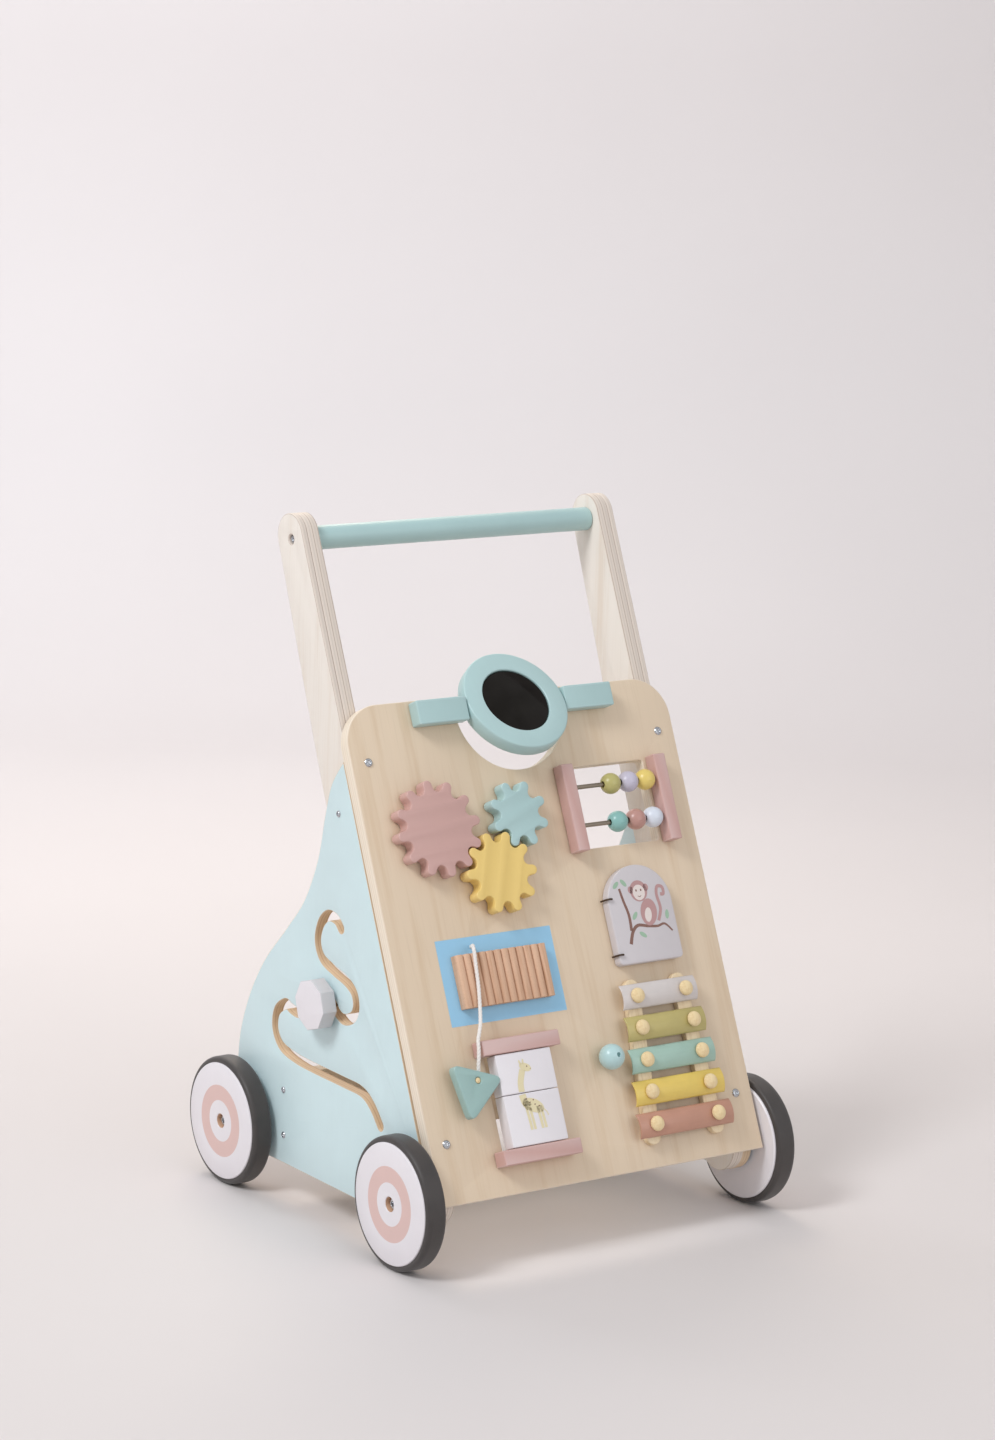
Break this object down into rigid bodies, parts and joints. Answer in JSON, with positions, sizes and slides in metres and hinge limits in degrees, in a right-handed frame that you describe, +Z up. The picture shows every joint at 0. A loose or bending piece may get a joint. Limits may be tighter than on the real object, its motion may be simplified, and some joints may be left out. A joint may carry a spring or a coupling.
{
  "type": "baby walker",
  "caption": "Wooden push-along baby walker with a leaning activity panel, side panels, raised handle bar and wheels with rubber tyres.",
  "frame": {"origin": "on the floor, half way between the front and rear axles and between the two sides", "axes": "+X from the walker's left to its right as seen from the front, +Y to the rear where the child stands, +Z up"},
  "size_m": [0.3406, 0.3376, 0.5285],
  "materials": {
    "birch": "birch plywood and solid birch, clear matt varnish",
    "aqua_side": "pale aqua paint on board, satin",
    "pink": "dusty pink painted wood, satin",
    "yellow": "soft yellow painted wood, satin",
    "teal": "grey teal painted wood, satin",
    "blue": "pale blue painted wood, satin",
    "guiro": "reddish-stained ridged wood, matt",
    "lilac": "lilac-grey painted wood, satin",
    "natural": "pale natural wood, matt",
    "white": "white painted wood, satin",
    "bead_olive": "olive painted wood, satin",
    "bead_mint": "mint painted wood, satin",
    "bead_rose": "dusty rose painted wood, satin",
    "key_lilac": "lilac-grey enamelled steel",
    "key_olive": "olive enamelled steel",
    "key_teal": "teal enamelled steel",
    "key_yellow": "yellow enamelled steel",
    "key_rose": "dusty rose enamelled steel",
    "mirror_glass": "acrylic mirror",
    "steel": "zinc-plated steel",
    "bronze": "dark bronze-plated wire",
    "tyre": "dark grey soft rubber",
    "string": "white braided cotton string"
  },
  "bodies": {
    "frame": {"front_panel": "birch", "left_side_panel": "aqua_side", "right_side_panel": "aqua_side", "left_upright": "birch", "right_upright": "birch", "handle_bar": "teal", "handle_screw_left": "steel", "handle_screw_right": "steel", "rear_crossboard": "birch", "front_left_axle_bolt": "steel", "front_right_axle_bolt": "steel", "rear_left_axle_bolt": "steel", "rear_right_axle_bolt": "steel", "mirror_block_left": "teal", "mirror_block_right": "teal", "bead_post_left": "pink", "bead_post_right": "pink", "bead_rod_upper": "steel", "bead_rod_lower": "steel", "guiro_block": "guiro", "flip_bar_lower": "pink", "flip_bar_upper": "pink", "flip_rod": "natural", "xylophone_rail_left": "natural", "xylophone_rail_right": "natural", "xylophone_key_1": "key_lilac", "xylophone_key_2": "key_olive", "xylophone_key_3": "key_teal", "xylophone_key_4": "key_yellow", "xylophone_key_5": "key_rose"},
    "mirror": {"mirror_frame": "teal", "mirror_glass": "mirror_glass"},
    "gear_large": {"gear_large": "pink"},
    "gear_medium": {"gear_medium": "yellow"},
    "gear_small": {"gear_small": "teal"},
    "door": {"door": "lilac", "door_staple_lower": "bronze", "door_staple_upper": "bronze"},
    "scraper": {"scraper_string": "string", "scraper": "teal"},
    "flip_lower": {"flip_block_lower": "white"},
    "flip_upper": {"flip_block_upper": "white"},
    "mallet": {"mallet": "blue"},
    "maze_peg": {"maze_peg": "natural"},
    "maze_knob": {"maze_knob": "white"},
    "front_left_wheel": {"front_left_wheel": "white", "front_left_tyre": "tyre"},
    "front_right_wheel": {"front_right_wheel": "white", "front_right_tyre": "tyre"},
    "rear_left_wheel": {"rear_left_wheel": "white", "rear_left_tyre": "tyre"},
    "rear_right_wheel": {"rear_right_wheel": "white", "rear_right_tyre": "tyre"},
    "bead_upper_left": {"bead_upper_left": "bead_olive"},
    "bead_upper_middle": {"bead_upper_middle": "lilac"},
    "bead_upper_right": {"bead_upper_right": "yellow"},
    "bead_lower_left": {"bead_lower_left": "bead_mint"},
    "bead_lower_middle": {"bead_lower_middle": "bead_rose"},
    "bead_lower_right": {"bead_lower_right": "white"}
  },
  "joints": [
    {"name": "front_left_wheel_spin", "type": "hinge", "parent": "frame", "child": "front_left_wheel", "pos_m": [-0.161, -0.1188, 0.05], "axis": [1, 0, 0], "continuous": true},
    {"name": "front_right_wheel_spin", "type": "hinge", "parent": "frame", "child": "front_right_wheel", "pos_m": [0.161, -0.1188, 0.05], "axis": [1, 0, 0], "continuous": true},
    {"name": "rear_left_wheel_spin", "type": "hinge", "parent": "frame", "child": "rear_left_wheel", "pos_m": [-0.161, 0.1188, 0.05], "axis": [1, 0, 0], "continuous": true},
    {"name": "rear_right_wheel_spin", "type": "hinge", "parent": "frame", "child": "rear_right_wheel", "pos_m": [0.161, 0.1188, 0.05], "axis": [1, 0, 0], "continuous": true},
    {"name": "mirror_tilt", "type": "hinge", "parent": "frame", "child": "mirror", "pos_m": [0, -0.01535, 0.38723], "axis": [1, 0, 0], "continuous": true},
    {"name": "gear_large_spin", "type": "hinge", "parent": "frame", "child": "gear_large", "pos_m": [-0.0914, -0.05039, 0.3064], "axis": [0, -0.9162, 0.4008], "continuous": true},
    {"name": "gear_medium_spin", "type": "hinge", "parent": "frame", "child": "gear_medium", "pos_m": [-0.04438, -0.06565, 0.27152], "axis": [0, -0.9162, 0.4008], "continuous": true},
    {"name": "gear_small_spin", "type": "hinge", "parent": "frame", "child": "gear_small", "pos_m": [-0.01815, -0.04883, 0.30998], "axis": [0, -0.9162, 0.4008], "continuous": true},
    {"name": "bead_upper_right_slide", "type": "slide", "parent": "frame", "child": "bead_upper_right", "axis": [1, 0, 0], "range_m": [-0.0088, 0.0007]},
    {"name": "bead_upper_middle_slide", "type": "slide", "parent": "bead_upper_right", "child": "bead_upper_middle", "axis": [1, 0, 0], "range_m": [-0.0088, 0.0005]},
    {"name": "bead_upper_left_slide", "type": "slide", "parent": "bead_upper_middle", "child": "bead_upper_left", "axis": [1, 0, 0], "range_m": [-0.0088, 0.0011]},
    {"name": "bead_lower_right_slide", "type": "slide", "parent": "frame", "child": "bead_lower_right", "axis": [1, 0, 0], "range_m": [-0.0085, 0.0007]},
    {"name": "bead_lower_middle_slide", "type": "slide", "parent": "bead_lower_right", "child": "bead_lower_middle", "axis": [1, 0, 0], "range_m": [-0.0085, 0.0009]},
    {"name": "bead_lower_left_slide", "type": "slide", "parent": "bead_lower_middle", "child": "bead_lower_left", "axis": [1, 0, 0], "range_m": [-0.0085, 0.0015]},
    {"name": "door_hinge", "type": "hinge", "parent": "frame", "child": "door", "pos_m": [0.046, -0.08262, 0.2215], "axis": [0, -0.4008, -0.9162], "range_deg": [0, 90]},
    {"name": "scraper_swing", "type": "hinge", "parent": "frame", "child": "scraper", "pos_m": [-0.078, -0.08045, 0.22273], "axis": [0, -0.9162, 0.4008], "range_deg": [-20, 0]},
    {"name": "flip_lower_spin", "type": "hinge", "parent": "frame", "child": "flip_lower", "pos_m": [-0.0604, -0.14009, 0.10387], "axis": [0, 0.4008, 0.9162], "continuous": true},
    {"name": "flip_upper_spin", "type": "hinge", "parent": "frame", "child": "flip_upper", "pos_m": [-0.0604, -0.12618, 0.13566], "axis": [0, 0.4008, 0.9162], "continuous": true},
    {"name": "mallet_slide", "type": "slide", "parent": "frame", "child": "mallet", "axis": [0, -0.9162, 0.4008], "range_m": [0, 0.145]},
    {"name": "maze_peg_slide", "type": "slide", "parent": "frame", "child": "maze_peg", "axis": [0, 0.9081, -0.4187], "range_m": [-0.002, 0.032]},
    {"name": "maze_knob_spin", "type": "hinge", "parent": "maze_peg", "child": "maze_knob", "pos_m": [-0.158, 0.005, 0.169], "axis": [1, 0, 0], "continuous": true}
  ],
  "couplings": [
    {"joint": "gear_medium_spin", "follows": "gear_large_spin", "ratio": -1.2},
    {"joint": "gear_small_spin", "follows": "gear_large_spin", "ratio": 1.5}
  ]
}
